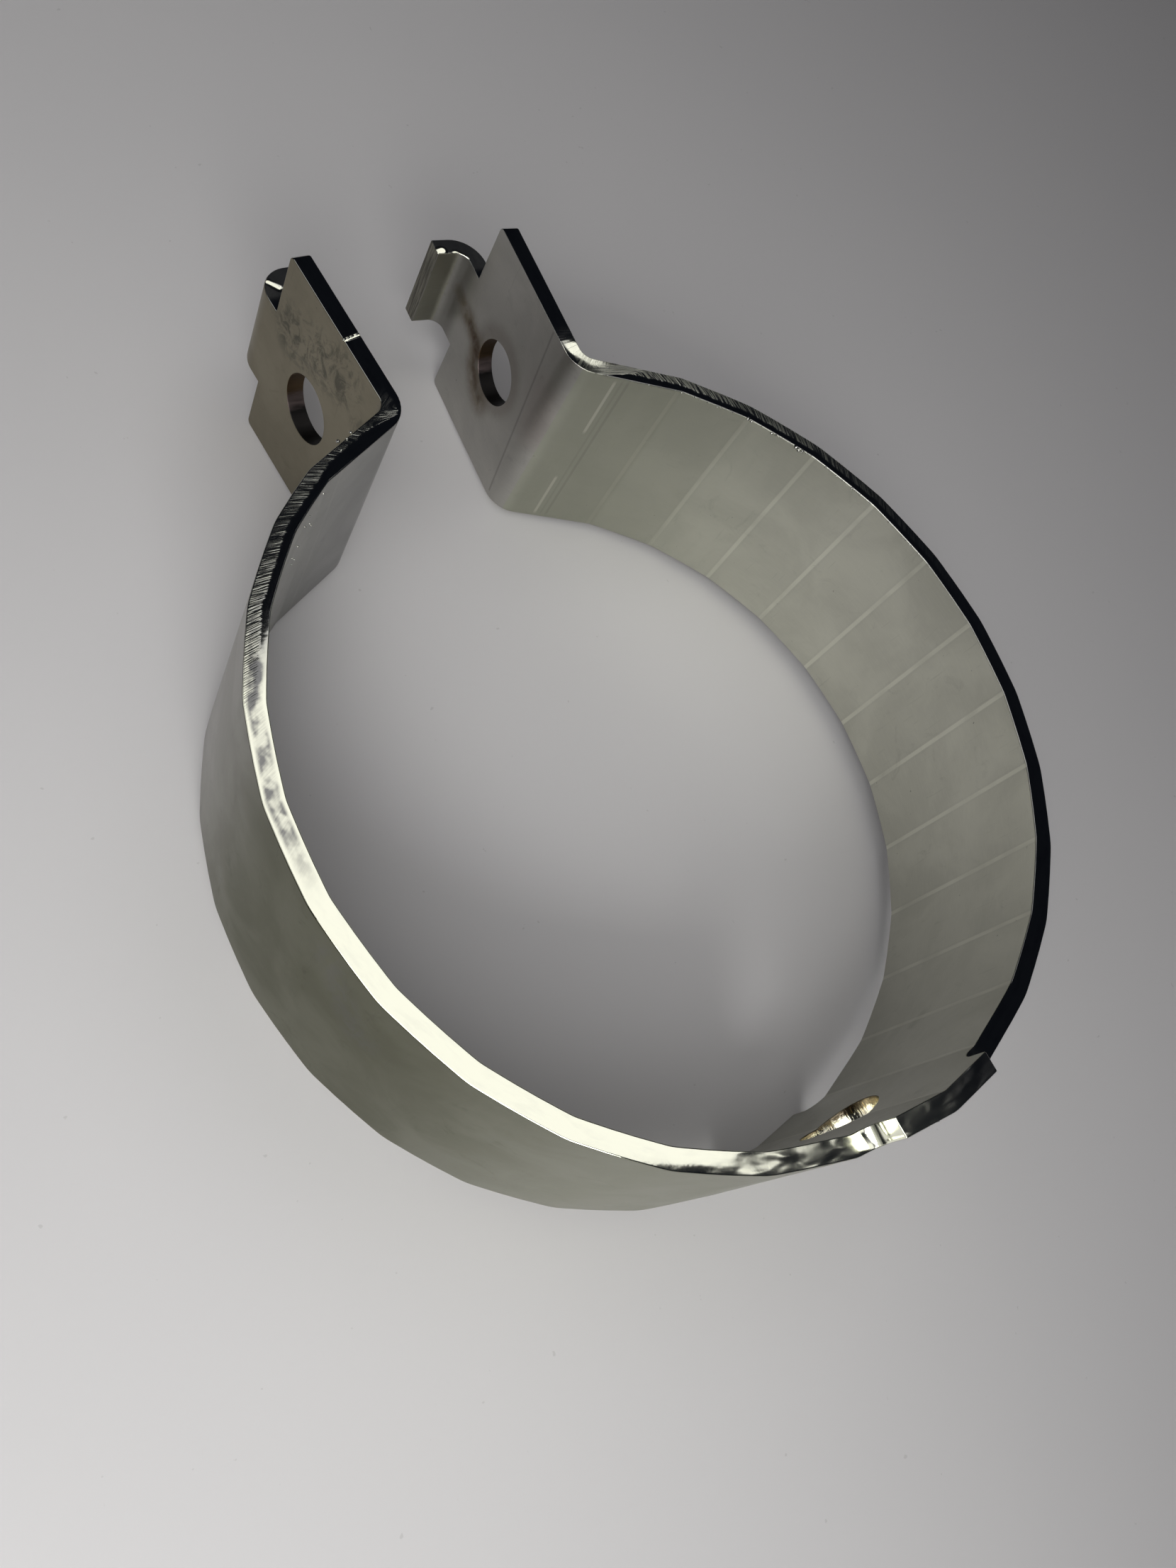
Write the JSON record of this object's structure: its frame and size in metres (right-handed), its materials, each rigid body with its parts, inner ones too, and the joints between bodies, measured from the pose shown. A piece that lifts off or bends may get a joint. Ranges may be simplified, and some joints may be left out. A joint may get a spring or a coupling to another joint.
{
  "type": "fuel filter bracket",
  "caption": "Open strap clamp of folded stainless sheet that holds a round inline filter, with two bolt ears, hooked ear tabs and a mounting hole.",
  "frame": {"origin": "centre of the ring at the middle of the strap's height", "axes": "+Z along the ring axis, up as the clamp lies in the picture; +Y from the ring axis towards the gap between the ears; the mounting hole is on the -Y side"},
  "size_m": [0.063, 0.0799, 0.0242],
  "materials": {
    "stainless_sheet": "satin mill-finish stainless steel sheet with dark laser-cut edges"
  },
  "bodies": {
    "root": {"strap_clamp": "stainless_sheet"}
  },
  "joints": []
}
